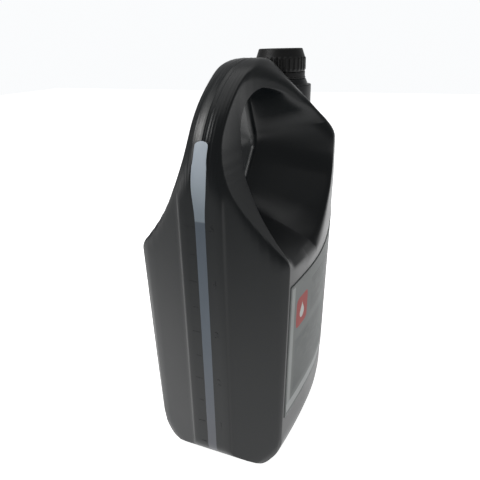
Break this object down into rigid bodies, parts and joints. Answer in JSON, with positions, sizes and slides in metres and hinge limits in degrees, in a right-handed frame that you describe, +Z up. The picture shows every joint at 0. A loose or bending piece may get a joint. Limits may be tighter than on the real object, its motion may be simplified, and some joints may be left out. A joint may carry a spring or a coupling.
{
  "type": "coolant bottle",
  "caption": "Blow-moulded black plastic coolant bottle with a moulded-in handle, finger hole, sight strip down the handle end, ribbed screw cap and front label",
  "frame": {"origin": "middle of the bottle's outline on the surface it stands on", "axes": "+X from the handle end to the neck end, +Y through the thickness away from the labelled face, +Z up"},
  "size_m": [0.2, 0.1248, 0.3136],
  "materials": {
    "body_plastic": "satin black blow-moulded polyethylene, fine grain, slightly scuffed on the edges",
    "strip_plastic": "milky see-through polyethylene moulded in line with the wall",
    "coolant_liquid": "blue-grey liquid",
    "label_film": "printed plastic film, silver grey with darker fields, no words",
    "cap_plastic": "satin black moulded polypropylene",
    "liner_foam": "white foamed sealing disc"
  },
  "bodies": {
    "bottle": {"bottle": "body_plastic", "sight_strip": "strip_plastic", "coolant": "coolant_liquid", "front_label": "label_film", "tamper_ring": "cap_plastic"},
    "liner": {"cap_liner": "liner_foam"},
    "cap": {"cap": "cap_plastic"}
  },
  "joints": [
    {"name": "cap_lift", "type": "slide", "parent": "bottle", "child": "liner", "axis": [0, 0, 1], "range_m": [0, 0.0102]},
    {"name": "cap_turn", "type": "hinge", "parent": "liner", "child": "cap", "pos_m": [0.062, 0, 0.3], "axis": [0, 0, 1], "range_deg": [0, 810]}
  ],
  "couplings": [
    {"joint": "cap_lift", "follows": "cap_turn", "m_per_rad": 0.0007162}
  ]
}
